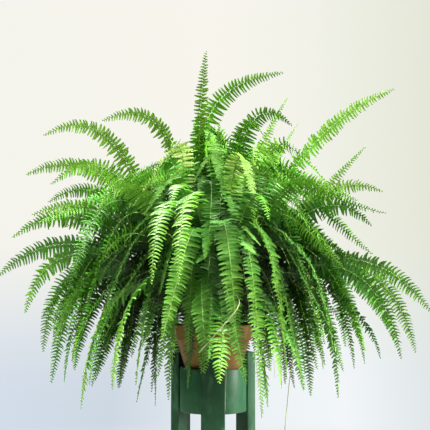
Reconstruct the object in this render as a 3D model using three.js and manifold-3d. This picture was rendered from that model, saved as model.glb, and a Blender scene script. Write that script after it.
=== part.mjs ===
import * as THREE from 'three';
import { mergeVertices } from 'three/addons/utils/BufferGeometryUtils.js';
import Module from 'manifold-3d';

const wasm = await Module();
wasm.setup();

// Every length is in millimetres and every angle in degrees. Z is up, -Y is the front.

// ---- driving sizes: plant stand ----
const legLength = 571;
const legWidth = 72;
const legThickness = 30;
const legCorner = 2.5;
const legRise = 44;
const legCount = 3;
const bandHeight = 134;
const bandWall = 8;
const bandEdge = 1.5;
const shelfInset = 11;
const shelfThickness = 15;
const shelfDrainRadius = 14;
const screwShankRadius = 2.5;
const screwHeadRadius = 6;
const screwHeadThickness = 3;
const screwBite = 20;
const screwChamfer = 1;
const screwPoint = 3;
const screwLevel = 0.62;

// ---- driving sizes: pot, soil and crown ----
const potHeight = 240;
const potRimRadius = 125;
const potWall = 9;
const potFloor = 12;
const potLip = 3;
const potEdge = 2;
const potDrainRadius = 9;
const potTaper = 0.306;
const collarHeight = 45;
const collarStep = 7;
const collarFlare = 3;
const soilDrop = 19;
const soilSlump = 5;
const crownShare = 0.62;
const crownHeight = 34;
const crownRim = 5;

// ---- driving sizes: fronds and runners ----
const frondHalfWidth = 38;
const frondThickness = 2.4;
const stalkHalfWidth = 3;
const frondStations = 12;
const youngWidth = 0.62;
const turnToLight = 58;
const runnerRadius = 1.3;
const runnerSteps = 22;

// ---- seats on the crown, as shares of its radius: every other frond of a kind sits further in ----
const uprightSeats = [0.3, 0.16];
const archingSeats = [0.6, 0.46];
const hangingSeats = [0.9, 0.76];
const youngSeats = [0.24, 0.5];

// ---- facets round the turned pieces ----
const potSegments = 48;
const soilSegments = 36;
const crownSegments = 32;
const crownSteps = 8;
const bandSegments = 60;
const screwSegments = 16;
const runnerSides = 6;

// ---- clearances ----
const gap = 0.3;
const legPotClearance = 1.8;
const shareOfGap = 0.44;
const frondPotClearance = 3;
const seatGap = 1.2;
const runnerRoom = 5.2;
const holeOvershoot = 5;
const weldReach = 1e-4;

// ---- levels and radii that follow from them ----
const bandTop = legLength - legRise;
const bandBottom = bandTop - bandHeight;
const shelfBottom = bandBottom + shelfInset;
const shelfTop = shelfBottom + shelfThickness;
const potBase = shelfTop + gap;
const rimTop = potBase + potHeight;
const collarBottom = rimTop - collarHeight;
const bodyTopRadius = potRimRadius - collarFlare - collarStep;
const soilTop = rimTop - soilDrop;
const soilBottom = potBase + potFloor + gap;
const innerTopRadius = potRimRadius - potWall - collarFlare;
const innerBottomRadius = bodyRadiusAt(potBase + potFloor) - potWall;
const legFace = bodyRadiusAt(legLength) + legPotClearance;
const bandOuter = legFace - gap;
const bandInner = bandOuter - bandWall;
const crownRadius = crownShare * (innerRadiusAt(soilTop) - gap);
const crownBase = soilTop + gap;

// Outer radius of the pot's tapered body at a height.
function bodyRadiusAt(z) {
  return bodyTopRadius - potTaper * (collarBottom - z);
}

// Inner radius of the pot at a height: a straight cone from floor to mouth.
function innerRadiusAt(z) {
  const share = (z - potBase - potFloor) / (potHeight - potFloor);
  return innerBottomRadius + share * (innerTopRadius - innerBottomRadius);
}

// Top of the domed crown at a radius.
function crownTopAt(radius) {
  const share = Math.min(1, radius / crownRadius);
  return crownBase + crownRim + (crownHeight - crownRim) * (1 - share * share);
}

// ---- materials ----
function finish(color, roughness, metalness = 0) {
  return new THREE.MeshStandardMaterial({ color, roughness, metalness });
}

const group = new THREE.Group();
group.name = 'potted_fern';

function addPiece(name, geometry, material) {
  const mesh = new THREE.Mesh(geometry, material);
  mesh.name = name;
  group.add(mesh);
  return mesh;
}

// ---- turned pieces ----
function turned(profile, segments) {
  const points = profile.map(([radius, z]) => new THREE.Vector2(radius, z));
  const geometry = new THREE.LatheGeometry(points, segments);
  geometry.rotateX(Math.PI / 2);
  return geometry;
}

function toManifold(geometry) {
  geometry.deleteAttribute('normal');
  geometry.deleteAttribute('uv');
  const welded = mergeVertices(geometry, weldReach);
  return new wasm.Manifold(new wasm.Mesh({
    numProp: 3,
    vertProperties: new Float32Array(welded.attributes.position.array),
    triVerts: new Uint32Array(welded.index.array),
  }));
}

function fromManifold(solid) {
  const mesh = solid.getMesh();
  const geometry = new THREE.BufferGeometry();
  geometry.setAttribute('position', new THREE.Float32BufferAttribute(mesh.vertProperties, 3));
  geometry.setIndex(Array.from(mesh.triVerts));
  return geometry;
}

// Unit direction on plan for a heading: 0 is the front, 90 the right.
function planDirection(heading) {
  const angle = THREE.MathUtils.degToRad(heading);
  return new THREE.Vector3(Math.sin(angle), -Math.cos(angle), 0);
}

// A rod along a plan heading, from one radius to another, at a height.
function radialRod(radius, from, to, heading, z, sides) {
  const rod = new THREE.CylinderGeometry(radius, radius, to - from, sides);
  rod.translate(0, (from + to) / 2, 0);
  rod.rotateZ(THREE.MathUtils.degToRad(heading) + Math.PI);
  rod.translate(0, 0, z);
  return rod;
}

// ---- pot: tapered body with a collar, an inside cone and a drain hole ----
addPiece('pot', turned([
  [potDrainRadius, potBase],
  [bodyRadiusAt(potBase) - potLip, potBase],
  [bodyRadiusAt(potBase + potLip), potBase + potLip],
  [bodyTopRadius, collarBottom],
  [bodyTopRadius + collarStep - potEdge, collarBottom],
  [bodyTopRadius + collarStep, collarBottom + potEdge],
  [potRimRadius, rimTop - potLip],
  [potRimRadius - potLip, rimTop],
  [innerTopRadius + potEdge, rimTop],
  [innerTopRadius, rimTop - potEdge],
  [innerBottomRadius, potBase + potFloor],
  [potDrainRadius, potBase + potFloor],
  [potDrainRadius, potBase],
], potSegments), finish(0x8a5f33, 0.85));

// ---- soil and crown ----
addPiece('soil', turned([
  [0, soilBottom],
  [innerRadiusAt(soilBottom) - gap, soilBottom],
  [innerRadiusAt(soilTop - soilSlump) - gap, soilTop - soilSlump],
  [innerRadiusAt(soilTop) - gap - soilSlump, soilTop],
  [0, soilTop],
], soilSegments), finish(0x2e231a, 0.98));

const crownProfile = [[0, crownBase], [crownRadius - 1, crownBase]];
for (let k = crownSteps; k >= 0; k -= 1) {
  const radius = crownRadius * (k / crownSteps);
  crownProfile.push([radius, crownTopAt(radius)]);
}
addPiece('crown', turned(crownProfile, crownSegments), finish(0x4a3521, 0.97));

// ---- plant stand: band, shelf, legs and screws ----
const screwHeight = bandBottom + bandHeight * screwLevel;
const shelfRadius = bandInner * Math.cos(Math.PI / bandSegments) - gap;
const legHeadings = [];
for (let k = 0; k < legCount; k += 1) {
  legHeadings.push((k * 360) / legCount);
}

let band = toManifold(turned([
  [bandInner, bandBottom + bandEdge],
  [bandInner + bandEdge, bandBottom],
  [bandOuter - bandEdge, bandBottom],
  [bandOuter, bandBottom + bandEdge],
  [bandOuter, bandTop - bandEdge],
  [bandOuter - bandEdge, bandTop],
  [bandInner + bandEdge, bandTop],
  [bandInner, bandTop - bandEdge],
  [bandInner, bandBottom + bandEdge],
], bandSegments));
for (const heading of legHeadings) {
  const from = bandInner - holeOvershoot;
  const to = bandOuter + holeOvershoot;
  const hole = radialRod(screwShankRadius + gap, from, to, heading, screwHeight, screwSegments);
  band = band.subtract(toManifold(hole));
}
addPiece('band', fromManifold(band), finish(0x3f7a4c, 0.38));

addPiece('shelf', turned([
  [shelfDrainRadius, shelfBottom],
  [shelfRadius, shelfBottom],
  [shelfRadius, shelfTop],
  [shelfDrainRadius, shelfTop],
  [shelfDrainRadius, shelfBottom],
], bandSegments), finish(0x35603f, 0.5));

function legOutline() {
  const halfWidth = legWidth / 2;
  const halfDepth = legThickness / 2;
  const shape = new THREE.Shape();
  shape.moveTo(-halfWidth + legCorner, -halfDepth);
  shape.lineTo(halfWidth - legCorner, -halfDepth);
  shape.quadraticCurveTo(halfWidth, -halfDepth, halfWidth, -halfDepth + legCorner);
  shape.lineTo(halfWidth, halfDepth - legCorner);
  shape.quadraticCurveTo(halfWidth, halfDepth, halfWidth - legCorner, halfDepth);
  shape.lineTo(-halfWidth + legCorner, halfDepth);
  shape.quadraticCurveTo(-halfWidth, halfDepth, -halfWidth, halfDepth - legCorner);
  shape.lineTo(-halfWidth, -halfDepth + legCorner);
  shape.quadraticCurveTo(-halfWidth, -halfDepth, -halfWidth + legCorner, -halfDepth);
  return shape;
}

legHeadings.forEach((heading, index) => {
  const blank = new THREE.ExtrudeGeometry(legOutline(), {
    depth: legLength,
    bevelEnabled: false,
    curveSegments: 3,
  });
  blank.translate(0, -(legFace + legThickness / 2), 0);
  blank.rotateZ(THREE.MathUtils.degToRad(heading));
  const from = legFace - holeOvershoot;
  const to = legFace + screwBite + 1;
  const hole = radialRod(screwShankRadius + gap, from, to, heading, screwHeight, screwSegments);
  const leg = toManifold(blank).subtract(toManifold(hole));
  addPiece(`leg_${index + 1}`, fromManifold(leg), finish(0x356b42, 0.38));
});

legHeadings.forEach((heading, index) => {
  const headBack = Math.sqrt(shelfRadius ** 2 - screwHeadRadius ** 2);
  const length = legFace + screwBite - headBack;
  const geometry = new THREE.LatheGeometry([
    new THREE.Vector2(0, -screwHeadThickness),
    new THREE.Vector2(screwHeadRadius - screwChamfer, -screwHeadThickness),
    new THREE.Vector2(screwHeadRadius, -screwHeadThickness + screwChamfer),
    new THREE.Vector2(screwHeadRadius, 0),
    new THREE.Vector2(screwShankRadius, 0),
    new THREE.Vector2(screwShankRadius, length - screwPoint),
    new THREE.Vector2(0, length),
  ], screwSegments);
  geometry.translate(0, headBack, 0);
  geometry.rotateZ(THREE.MathUtils.degToRad(heading) + Math.PI);
  geometry.translate(0, 0, screwHeight);
  addPiece(`screw_${index + 1}`, geometry, finish(0x8d9094, 0.35, 0.9));
});

// ---- fronds ----
// Each row is one frond: plan heading, tip distance beyond the pot's rim, tip height above the
// rim, the angle it leaves the crown at, the angle its tip points at, how far the tip drifts
// sideways, extra roll about its stalk, and the fullness of its curve.
const upright = [
  [-100, 240, 648, 74, -26, 0, 0, 0.46],
  [-62, -100, 862, 84, 97, 0, 14, 0.4],
  [36, 150, 550, 79, -60, -10, 0, 0.5],
  [60, 152, 605, 82, -48, 0, 0, 0.46],
  [78, 100, 785, 96, 4, 0, 6, 0.5],
  [98, 470, 757, 67, 20, 0, 0, 0.36],
  [128, 10, 655, 84, 62, 0, 0, 0.4],
  [-172, 160, 610, 80, -24, 0, -20, 0.44],
];
const arching = [
  [-168, 345, 330, 66, -50, 0, 0, 0.46],
  [-140, 400, 400, 66, -38, 20, 0, 0.44],
  [-112, 475, 396, 60, -36, 0, 0, 0.4],
  [-100, 495, 478, 61, -28, 0, 0, 0.42],
  [-90, 412, 592, 60, -34, 0, 0, 0.42],
  [-84, 498, 268, 52, -42, 0, 0, 0.44],
  [-78, 436, 335, 57, -28, 0, 0, 0.42],
  [-67, 395, 420, 64, -48, 0, 0, 0.46],
  [-42, 360, 330, 66, -62, 0, 0, 0.48],
  [-16, 330, 330, 68, -66, 10, 0, 0.48],
  [20, 350, 300, 66, -66, -10, 0, 0.48],
  [46, 350, 350, 66, -60, 0, 0, 0.48],
  [72, 375, 300, 62, -52, 0, 0, 0.46],
  [94, 418, 420, 54, -24, 0, 0, 0.4],
  [140, 420, 360, 64, -42, 0, 0, 0.46],
];
const hanging = [
  [-150, 340, -130, 60, -88, 0, 0, 0.74],
  [-122, 420, -70, 58, -84, 0, 0, 0.68],
  [-105, 450, -100, 56, -88, 0, 0, 0.68],
  [-90, 555, 145, 50, -46, 0, 0, 0.46],
  [-76, 455, 38, 54, -80, 0, 0, 0.58],
  [-60, 405, -48, 54, -76, 0, 0, 0.62],
  [-48, 370, -222, 56, -88, 0, 0, 0.68],
  [-36, 345, -160, 58, -88, 0, 0, 0.72],
  [-21, 340, 128, 74, -84, 0, 0, 0.96],
  [-10, 402, 128, 76, -84, 0, 0, 0.86],
  [-4, 160, -125, 64, -88, -6, 0, 0.66],
  [7, 215, -148, 62, -88, -24, 0, 0.66],
  [32, 240, -165, 60, -90, 0, 0, 0.72],
  [43, 112, -235, 66, -90, 0, 0, 0.66],
  [62, 290, -205, 60, -90, 0, 0, 0.9],
  [75, 455, -96, 54, -82, 0, 0, 0.64],
  [88, 555, 36, 54, -56, 0, 0, 0.5],
  [101, 545, -100, 54, -78, 0, 0, 0.6],
  [132, 360, -110, 58, -86, 0, 0, 0.72],
  [172, 400, 30, 54, -78, 0, 0, 0.6],
];
const young = [
  [14, -45, 625, 84, 70, 0, 20, 0.36],
  [80, 352, 550, 62, 46, 0, 0, 0.36],
  [86, 110, 712, 78, 58, 0, 0, 0.38],
  [112, 175, 650, 74, 54, 0, 0, 0.38],
];

// Where a row's frond starts: steeper ones sit nearer the middle of the crown.
function seatOf(heading, ringShare) {
  const radius = crownRadius * ringShare;
  const seat = planDirection(heading).multiplyScalar(radius);
  seat.z = crownTopAt(radius) + seatGap;
  return seat;
}

// The stations of a rib: one cubic curve from its seat to its tip, with a sideways drift.
function ribOf(row, ringShare) {
  const [heading, beyond, rise, leave, land, drift, roll, fullness] = row;
  const outward = planDirection(heading);
  const side = planDirection(heading + 90);
  const start = seatOf(heading, ringShare);
  const tip = outward.clone().multiplyScalar(potRimRadius + beyond);
  tip.z = rimTop + rise;
  const chord = start.distanceTo(tip) * fullness;
  const leaveAngle = THREE.MathUtils.degToRad(leave);
  const landAngle = THREE.MathUtils.degToRad(land);
  const first = start.clone();
  first.addScaledVector(outward, Math.cos(leaveAngle) * chord);
  first.z += Math.sin(leaveAngle) * chord;
  const second = tip.clone();
  second.addScaledVector(outward, -Math.cos(landAngle) * chord);
  second.z -= Math.sin(landAngle) * chord;
  const curve = new THREE.CubicBezierCurve3(start, first, second, tip);
  const points = curve.getSpacedPoints(frondStations);
  points.forEach((point, index) => {
    point.addScaledVector(side, drift * (index / frondStations) ** 2);
  });
  return { heading, roll: roll + turnToLight * Math.sin(THREE.MathUtils.degToRad(heading)), points };
}

function ribsOf(rows, seats, width) {
  return rows.map((row, index) => ({ ...ribOf(row, seats[index % 2]), width }));
}

const ribs = [
  ...ribsOf(upright, uprightSeats, 1),
  ...ribsOf(arching, archingSeats, 1),
  ...ribsOf(hanging, hangingSeats, 1),
  ...ribsOf(young, youngSeats, youngWidth),
];

// ---- runners: thin bare stems that leave the crown and hang over the rim ----
const runnerCourses = [
  [[19, 0.96, 4], [19, 1.2, 52], [14, 2.2, 96], [11, 2.95, 66], [3, 3.02, 6], [-6, 2.96, -60]],
  [[69, 0.97, 4], [68, 1.08, 30], [66, 1.7, 44], [66, 2.1, -60], [67, 2.0, -170], [61, 1.95, -325]],
];

function runnerPath(course) {
  const points = course.map(([heading, share, rise], index) => {
    const radius = index === 0 ? crownRadius * share : potRimRadius * share;
    const point = planDirection(heading).multiplyScalar(radius);
    point.z = index === 0 ? crownTopAt(radius) + seatGap + rise : rimTop + rise;
    return point;
  });
  return new THREE.CatmullRomCurve3(points, false, 'centripetal');
}

const runnerPaths = runnerCourses.map(runnerPath);

// ---- room for each blade ----
// Points along a rib, four to each of its lengths, with the station each one follows.
function finePoints(points) {
  const fine = [];
  for (let k = 0; k + 1 < points.length; k += 1) {
    for (let j = 0; j < 4; j += 1) {
      fine.push({ station: k, point: points[k].clone().lerp(points[k + 1], j / 4) });
    }
  }
  fine.push({ station: points.length - 2, point: points[points.length - 1].clone() });
  return fine;
}

// Distance from a point to the pot's outline above its body.
function potDistance(point) {
  const radius = Math.hypot(point.x, point.y);
  const out = radius - potRimRadius;
  const up = point.z - rimTop;
  const inside = innerTopRadius - radius;
  if (up >= 0) {
    return Math.hypot(up, Math.max(0, out, inside));
  }
  return out > 0 ? out : Math.max(0, inside);
}

const fineRibs = ribs.map((rib) => finePoints(rib.points));
const fineRunners = runnerPaths.map((path) => path.getSpacedPoints(runnerSteps * 2));

// The free distance around each length of a rib: the least one to any neighbour.
function freeLengths(own) {
  const free = new Array(frondStations).fill(Infinity);
  for (const { station, point } of fineRibs[own]) {
    let least = potDistance(point) - frondPotClearance;
    for (const runner of fineRunners) {
      for (const other of runner) {
        least = Math.min(least, (point.distanceTo(other) - runnerRoom) * shareOfGap);
      }
    }
    for (let k = 0; k < fineRibs.length; k += 1) {
      if (k !== own) {
        for (const other of fineRibs[k]) {
          least = Math.min(least, point.distanceTo(other.point) * shareOfGap);
        }
      }
    }
    free[station] = Math.min(free[station], least);
  }
  return free;
}

// Share of the full width along a frond: bare stalk, quick swell, long body, pointed tip.
function widthShare(along) {
  const swell = THREE.MathUtils.smoothstep(along, 0.04, 0.3);
  const taper = 1 - Math.max(0, (along - 0.5) / 0.5) ** 2.1;
  return swell * taper;
}

// A frond's solid: a thin leaf with a left edge, a right edge, a top ridge and a keel.
function frondGeometry(rib, own) {
  const free = freeLengths(own);
  const outward = planDirection(rib.heading);
  const side = planDirection(rib.heading + 90);
  const roll = THREE.MathUtils.degToRad(rib.roll);
  const last = rib.points.length - 1;
  const vertices = [];
  vertices.push(...rib.points[0].toArray());
  for (let k = 1; k < last; k += 1) {
    const centre = rib.points[k];
    const along = rib.points[k + 1].clone().sub(rib.points[k - 1]).normalize();
    const across = side.clone().addScaledVector(along, -side.dot(along)).normalize();
    const up = across.clone().cross(along).normalize();
    const lateral = across.clone().multiplyScalar(Math.cos(roll));
    lateral.addScaledVector(up, Math.sin(roll));
    const face = up.clone().multiplyScalar(Math.cos(roll));
    face.addScaledVector(across, -Math.sin(roll));
    const room = Math.min(free[k - 1], free[k]);
    const wanted = Math.max(stalkHalfWidth, frondHalfWidth * rib.width * widthShare(k / last));
    const half = Math.min(wanted, room);
    const thick = Math.min(frondThickness / 2, room * 0.8);
    vertices.push(...centre.clone().addScaledVector(lateral, -half).toArray());
    vertices.push(...centre.clone().addScaledVector(face, thick).toArray());
    vertices.push(...centre.clone().addScaledVector(lateral, half).toArray());
    vertices.push(...centre.clone().addScaledVector(face, -thick).toArray());
  }
  vertices.push(...rib.points[last].toArray());
  const triangles = [];
  const ring = (k, j) => 1 + (k - 1) * 4 + (j % 4);
  const tip = 1 + (last - 1) * 4;
  for (let j = 0; j < 4; j += 1) {
    triangles.push(0, ring(1, j + 1), ring(1, j));
    for (let k = 1; k + 1 < last; k += 1) {
      triangles.push(ring(k, j), ring(k, j + 1), ring(k + 1, j));
      triangles.push(ring(k, j + 1), ring(k + 1, j + 1), ring(k + 1, j));
    }
    triangles.push(ring(last - 1, j), ring(last - 1, j + 1), tip);
  }
  const geometry = new THREE.BufferGeometry();
  geometry.setAttribute('position', new THREE.Float32BufferAttribute(vertices, 3));
  geometry.setIndex(triangles);
  return outwardFacing(geometry);
}

// Turns every face over when the solid's signed volume comes out negative.
function outwardFacing(geometry) {
  const position = geometry.attributes.position;
  const index = geometry.index.array;
  const a = new THREE.Vector3();
  const b = new THREE.Vector3();
  const c = new THREE.Vector3();
  let volume = 0;
  for (let i = 0; i < index.length; i += 3) {
    a.fromBufferAttribute(position, index[i]);
    b.fromBufferAttribute(position, index[i + 1]);
    c.fromBufferAttribute(position, index[i + 2]);
    volume += a.dot(b.cross(c));
  }
  if (volume < 0) {
    const turnedOver = Array.from(index);
    for (let i = 0; i < turnedOver.length; i += 3) {
      [turnedOver[i + 1], turnedOver[i + 2]] = [turnedOver[i + 2], turnedOver[i + 1]];
    }
    geometry.setIndex(turnedOver);
  }
  return geometry;
}

const leafColors = [0x4f8a3a, 0x3f7431, 0x629a48, 0x568f3f, 0x35662b];
const grown = upright.length + arching.length + hanging.length;
ribs.forEach((rib, index) => {
  const isYoung = index >= grown;
  const number = String(isYoung ? index - grown + 1 : index + 1).padStart(2, '0');
  const name = isYoung ? `young_frond_${number}` : `frond_${number}`;
  const color = isYoung ? 0x9dbb4f : leafColors[index % leafColors.length];
  addPiece(name, frondGeometry(rib, index), finish(color, 0.55));
});

runnerPaths.forEach((path, index) => {
  const section = new THREE.Shape();
  for (let k = 0; k < runnerSides; k += 1) {
    const angle = (k * 2 * Math.PI) / runnerSides;
    const x = runnerRadius * Math.cos(angle);
    const y = runnerRadius * Math.sin(angle);
    if (k === 0) {
      section.moveTo(x, y);
    } else {
      section.lineTo(x, y);
    }
  }
  section.closePath();
  const geometry = new THREE.ExtrudeGeometry(section, {
    steps: runnerSteps,
    extrudePath: path,
    bevelEnabled: false,
  });
  addPiece(`runner_${index + 1}`, geometry, finish(0xa9a878, 0.7));
});

export default group;
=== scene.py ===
import math

import bpy
import numpy as np
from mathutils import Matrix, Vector


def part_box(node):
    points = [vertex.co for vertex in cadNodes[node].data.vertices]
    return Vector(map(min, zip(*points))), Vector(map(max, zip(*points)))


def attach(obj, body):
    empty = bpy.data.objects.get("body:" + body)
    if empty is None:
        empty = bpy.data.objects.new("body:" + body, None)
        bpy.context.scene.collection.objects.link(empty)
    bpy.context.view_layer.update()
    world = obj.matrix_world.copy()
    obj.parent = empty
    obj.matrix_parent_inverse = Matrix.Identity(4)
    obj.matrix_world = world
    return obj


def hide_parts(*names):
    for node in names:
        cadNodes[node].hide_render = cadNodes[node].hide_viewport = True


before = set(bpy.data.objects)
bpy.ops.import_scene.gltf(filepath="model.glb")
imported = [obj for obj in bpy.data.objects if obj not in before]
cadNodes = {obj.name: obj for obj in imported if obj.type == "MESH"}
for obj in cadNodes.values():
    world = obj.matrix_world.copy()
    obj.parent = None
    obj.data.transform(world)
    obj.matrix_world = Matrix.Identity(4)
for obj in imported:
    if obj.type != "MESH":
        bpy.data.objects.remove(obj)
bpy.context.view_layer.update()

# the camera stands low, level with the foliage, and looks slightly up
cameraView = {
    "place": (0.006, -3.2, 0.823),
    "target": (0.006, 0.0, 1.001),
    "viewAngle": 23.8,
    "sensor": 36.0,
}


def makeCamera(view):
    data = bpy.data.cameras.new("camera")
    data.sensor_width = view["sensor"]
    data.lens = view["sensor"] / 2 / math.tan(math.radians(view["viewAngle"]) / 2)
    data.clip_start = 0.05
    data.clip_end = 60
    camera = bpy.data.objects.new("camera", data)
    bpy.context.scene.collection.objects.link(camera)
    camera.location = view["place"]
    aim = Vector(view["target"]) - Vector(view["place"])
    camera.rotation_euler = aim.to_track_quat("-Z", "Y").to_euler()
    bpy.context.scene.camera = camera


makeCamera(cameraView)
print("camera placed")


class Signal:
    # a number on a socket; arithmetic on it adds Math nodes
    def __init__(self, finish, socket):
        self.finish = finish
        self.socket = socket

    def math(self, operation, first, second=None):
        values = {0: first}
        if second is not None:
            values[1] = second
        made = self.finish.node("ShaderNodeMath", {"operation": operation}, values)
        return Signal(self.finish, made.outputs[0])

    def __add__(self, other):
        return self.math("ADD", self, other)

    def __radd__(self, other):
        return self.math("ADD", other, self)

    def __sub__(self, other):
        return self.math("SUBTRACT", self, other)

    def __rsub__(self, other):
        return self.math("SUBTRACT", other, self)

    def __mul__(self, other):
        return self.math("MULTIPLY", self, other)

    def __rmul__(self, other):
        return self.math("MULTIPLY", other, self)

    def sine(self):
        return self.math("SINE", self)

    def power(self, other):
        return self.math("POWER", self, other)

    def clamped(self):
        made = self.finish.node("ShaderNodeClamp", None, {"Value": self})
        return Signal(self.finish, made.outputs[0])


class Finish:
    # a material, or a world, and the nodes it is made of
    def __init__(self, name, home="materials", output="ShaderNodeOutputMaterial"):
        self.owner = getattr(bpy.data, home).new(name)
        self.owner.use_nodes = True
        self.tree = self.owner.node_tree
        self.tree.nodes.clear()
        self.output = self.node(output)

    def node(self, kind, settings=None, values=None):
        # settings come first, as they change what sockets there are; stops fill a ramp
        made = self.tree.nodes.new(kind)
        for key, value in (settings or {}).items():
            if key == "stops":
                ramp = made.color_ramp
                while len(ramp.elements) < len(value):
                    ramp.elements.new(0.5)
                for element, (place, color) in zip(ramp.elements, value):
                    element.position = place
                    element.color = (*color, 1.0)
            else:
                setattr(made, key, value)
        for key, value in (values or {}).items():
            self.plug(made.inputs[key], value)
        return made

    def plug(self, socket, value):
        if isinstance(value, Signal):
            value = value.socket
        if isinstance(value, bpy.types.NodeSocket):
            self.tree.links.new(value, socket)
        elif isinstance(value, tuple) and len(value) == 3 and socket.type == "RGBA":
            socket.default_value = (*value, 1.0)
        else:
            socket.default_value = value

    def attribute(self, name):
        made = self.node("ShaderNodeAttribute", {"attribute_name": name})
        return Signal(self, made.outputs["Fac"])

    def noise(self, scale, detail=3.0, roughness=0.5, stretch=(1, 1, 1)):
        place = self.node("ShaderNodeTexCoord").outputs["Object"]
        sized = self.node("ShaderNodeMapping", None, {"Vector": place, "Scale": stretch})
        made = self.node("ShaderNodeTexNoise", None, {
            "Vector": sized.outputs[0], "Scale": scale, "Detail": detail, "Roughness": roughness,
        })
        return Signal(self, made.outputs["Fac"])

    def height(self, axis):
        place = self.node("ShaderNodeTexCoord").outputs["Object"]
        parts = self.node("ShaderNodeSeparateXYZ", None, {"Vector": place})
        return Signal(self, parts.outputs[axis])

    def ramp(self, value, stops):
        return self.node("ShaderNodeValToRGB", {"stops": stops}, {"Fac": value}).outputs["Color"]

    def between(self, value, low, high):
        # 0 below low, 1 above high, smooth in between
        made = self.node("ShaderNodeMapRange", {"interpolation_type": "SMOOTHSTEP"}, {
            "Value": value, "From Min": low, "From Max": high,
        })
        return Signal(self, made.outputs[0])

    def mix(self, share, first, second):
        made = self.node("ShaderNodeMix", {"data_type": "RGBA"}, {0: share, 6: first, 7: second})
        return made.outputs[2]

    def bump(self, value, distance, strength=1.0):
        return self.node("ShaderNodeBump", None, {
            "Height": value, "Distance": distance, "Strength": strength,
        }).outputs[0]

    def surface(self, **values):
        named = {key.replace("_", " "): value for key, value in values.items()}
        return self.node("ShaderNodeBsdfPrincipled", None, named)

    def show(self, shader):
        self.tree.links.new(shader.outputs[0], self.output.inputs["Surface"])
        return self.owner


def outward(points, quads, triangles):
    # turns the faces round when the closed shape's signed volume is below zero
    volume = 0.0
    for faces in (quads[:, [0, 1, 2]], quads[:, [0, 2, 3]], triangles):
        if len(faces):
            a, b, c = points[faces[:, 0]], points[faces[:, 1]], points[faces[:, 2]]
            volume += np.einsum("ij,ij->", a, np.cross(b, c))
    if volume < 0:
        return quads[:, ::-1], triangles[:, ::-1]
    return quads, triangles


def shape(points, quads, triangles, pointValues=None, faceValues=None, margins=None):
    # one closed shape; faceValues rows are given for quads first, then triangles
    quads = np.asarray(quads, dtype=np.int64).reshape(-1, 4)
    triangles = np.asarray(triangles, dtype=np.int64).reshape(-1, 3)
    quads, triangles = outward(points, quads, triangles)
    return {
        "points": points, "quads": quads, "triangles": triangles,
        "pointValues": pointValues or {}, "faceValues": faceValues or {},
        "margins": np.zeros(len(points), bool) if margins is None else margins,
    }


def meshPiece(name, shapes, material):
    # all the shapes in one mesh object, with its attributes and its sharp margins
    offsets = np.cumsum([0] + [len(s["points"]) for s in shapes])
    points = np.concatenate([s["points"] for s in shapes])
    quads = np.concatenate([s["quads"] + o for s, o in zip(shapes, offsets)])
    triangles = np.concatenate([s["triangles"] + o for s, o in zip(shapes, offsets)])
    margins = np.concatenate([s["margins"] for s in shapes])
    mesh = bpy.data.meshes.new(name)
    mesh.vertices.add(len(points))
    mesh.vertices.foreach_set("co", points.astype(np.float32).ravel())
    loops = np.concatenate([quads.ravel(), triangles.ravel()]).astype(np.int32)
    mesh.loops.add(len(loops))
    mesh.loops.foreach_set("vertex_index", loops)
    sizes = np.concatenate([np.full(len(quads), 4), np.full(len(triangles), 3)])
    starts = np.concatenate([[0], np.cumsum(sizes)[:-1]]).astype(np.int32)
    mesh.polygons.add(len(sizes))
    mesh.polygons.foreach_set("loop_start", starts)
    mesh.update(calc_edges=True)
    mesh.polygons.foreach_set("use_smooth", np.full(len(sizes), True))
    for key in shapes[0]["pointValues"]:
        values = np.concatenate([s["pointValues"][key] for s in shapes]).astype(np.float32)
        mesh.attributes.new(key, "FLOAT", "POINT").data.foreach_set("value", values)
    for key in shapes[0]["faceValues"]:
        quadPart = [s["faceValues"][key][: len(s["quads"])] for s in shapes]
        trianglePart = [s["faceValues"][key][len(s["quads"]):] for s in shapes]
        values = np.concatenate(quadPart + trianglePart).astype(np.float32)
        mesh.attributes.new(key, "FLOAT", "FACE").data.foreach_set("value", values)
    if margins.any():
        ends = np.empty(len(mesh.edges) * 2, np.int32)
        mesh.edges.foreach_get("vertices", ends)
        sharp = margins[ends].reshape(-1, 2).all(axis=1)
        mesh.attributes.new("sharp_edge", "BOOLEAN", "EDGE").data.foreach_set("value", sharp)
    mesh.validate()
    mesh.materials.append(material)
    piece = bpy.data.objects.new(name, mesh)
    bpy.context.scene.collection.objects.link(piece)
    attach(piece, "root")
    return piece


def ringFaces(levels, around, first, footPole, tipPole):
    # the quads between neighbouring rings, whose points start at first, and the fans of
    # triangles that close them to the pole at each end
    here = np.arange(around)
    beside = (here + 1) % around
    start = first + np.arange(levels - 1)[:, None] * around
    quads = np.stack([
        start + here, start + beside, start + beside + around, start + here + around,
    ], axis=2).reshape(-1, 4)
    foot = np.stack([np.full(around, footPole), first + beside, first + here], axis=1)
    last = first + (levels - 1) * around
    tip = np.stack([last + here, last + beside, np.full(around, tipPole)], axis=1)
    return quads, np.concatenate([foot, tip])


def unit(rows):
    # the same directions, each of length one
    return rows / np.maximum(np.linalg.norm(rows, axis=-1, keepdims=True), 1e-9)


def smoothShare(value, low, high):
    # 0 below low, 1 above high, and between them three squares less two cubes of the share
    share = np.clip((value - low) / (high - low), 0, 1)
    return share * share * (3 - 2 * share)


pathForm = {"rows": 161, "smoothing": 24}


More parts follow.
